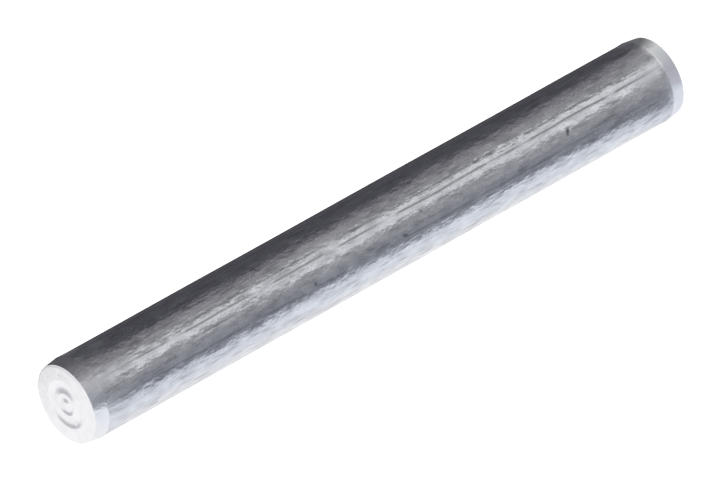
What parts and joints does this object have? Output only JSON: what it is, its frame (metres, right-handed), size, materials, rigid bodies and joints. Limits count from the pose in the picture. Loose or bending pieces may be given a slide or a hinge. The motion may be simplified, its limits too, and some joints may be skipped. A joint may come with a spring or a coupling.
{
  "type": "dowel pin",
  "caption": "Parallel steel dowel pin: a plain round shank with a shallow chamfer and a flat face at each end.",
  "frame": {"origin": "centre of the plain lower end face, at the foot of the pin's axis", "axes": "+Z along the pin's axis, from the plain lower end to the upper end with the turned rings; the pin is the same all round, so +X and +Y are free"},
  "size_m": [0.008, 0.008, 0.07],
  "materials": {
    "steel": "bright drawn steel with fine lengthwise draw marks, smoother turned chamfers and end faces"
  },
  "bodies": {
    "root": {"dowel_pin": "steel"}
  },
  "joints": []
}
